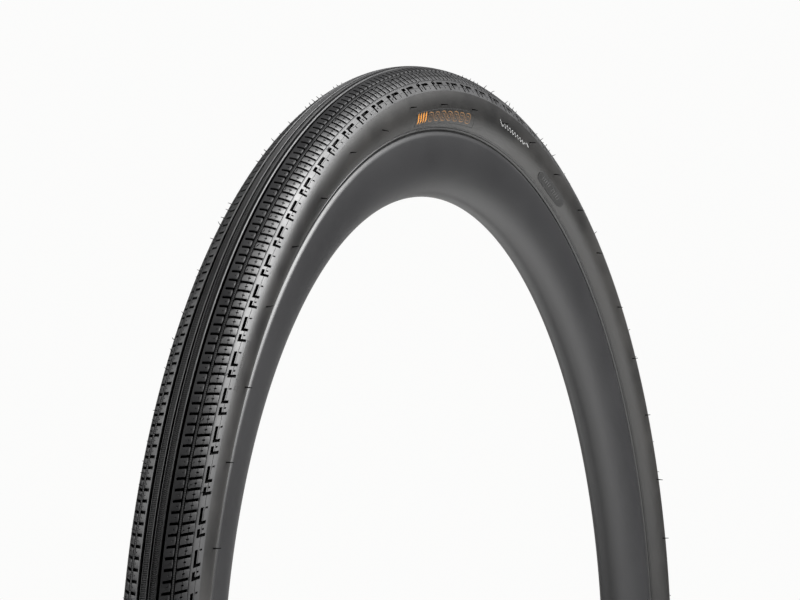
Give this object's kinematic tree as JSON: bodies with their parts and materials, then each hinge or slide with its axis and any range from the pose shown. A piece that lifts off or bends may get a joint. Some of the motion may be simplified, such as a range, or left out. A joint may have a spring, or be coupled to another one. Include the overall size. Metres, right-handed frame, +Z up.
{
  "type": "bicycle tire on rim",
  "caption": "Gravel bicycle tire with a fine block tread, seated on a smooth deep-section rim with a tubeless valve.",
  "frame": {"origin": "the wheel's centre, on the axle line in the tire's middle plane", "axes": "+Y along the axle, +Z up, valve at the bottom of the wheel on -Z"},
  "size_m": [0.7059, 0.0414, 0.706],
  "materials": {
    "tread_rubber": "satin moulded rubber",
    "sidewall_rubber": "smooth satin rubber",
    "belt_fabric": "woven aramid",
    "casing_fabric": "rubbered nylon cord",
    "liner_rubber": "smooth",
    "chafer_fabric": "rubbered gauze",
    "bead_aramid": "bundled cord",
    "label_film": "satin transfer film",
    "pale_film": "satin transfer film",
    "rim_laminate": "satin black",
    "tape_film": "smooth film",
    "valve_alloy": "black anodised",
    "core_brass": "nickel-plated brass",
    "seal_rubber": "matt rubber"
  },
  "bodies": {
    "wheel": {"tread_cap": "tread_rubber", "breaker_belt": "belt_fabric", "casing_outer_ply": "casing_fabric", "casing_inner_ply": "casing_fabric", "inner_liner": "liner_rubber", "sidewall_left": "sidewall_rubber", "sidewall_right": "sidewall_rubber", "chafer_left": "chafer_fabric", "chafer_right": "chafer_fabric", "bead_core_left": "bead_aramid", "bead_core_right": "bead_aramid", "size_label_left": "label_film", "size_label_right": "label_film", "band_label_left": "pale_film", "band_label_right": "pale_film", "rim": "rim_laminate", "rim_tape": "tape_film", "valve_stem": "valve_alloy", "valve_base_plug": "seal_rubber", "core_body": "core_brass", "core_gasket": "seal_rubber"},
    "nut_seal": {"rim_nut_o_ring": "seal_rubber"},
    "rim_nut": {"rim_nut": "valve_alloy"},
    "valve_pin": {"valve_pin": "core_brass", "pin_seal": "seal_rubber"},
    "pin_nut": {"pin_nut": "core_brass"}
  },
  "joints": [
    {"name": "nut_travel", "type": "slide", "parent": "wheel", "child": "nut_seal", "axis": [0, 0, 1], "range_m": [0, 0.008]},
    {"name": "nut_turn", "type": "hinge", "parent": "nut_seal", "child": "rim_nut", "pos_m": [0, 0, -0.277], "axis": [0, 0, 1], "range_deg": [0, 3601]},
    {"name": "pin_press", "type": "slide", "parent": "wheel", "child": "valve_pin", "axis": [0, 0, -1], "range_m": [0, 0.0015]},
    {"name": "pin_nut_travel", "type": "slide", "parent": "valve_pin", "child": "pin_nut", "axis": [0, 0, 1], "range_m": [-0.0005, 0.001]}
  ],
  "couplings": [
    {"joint": "nut_turn", "follows": "nut_travel", "rad_per_m": 7854}
  ]
}
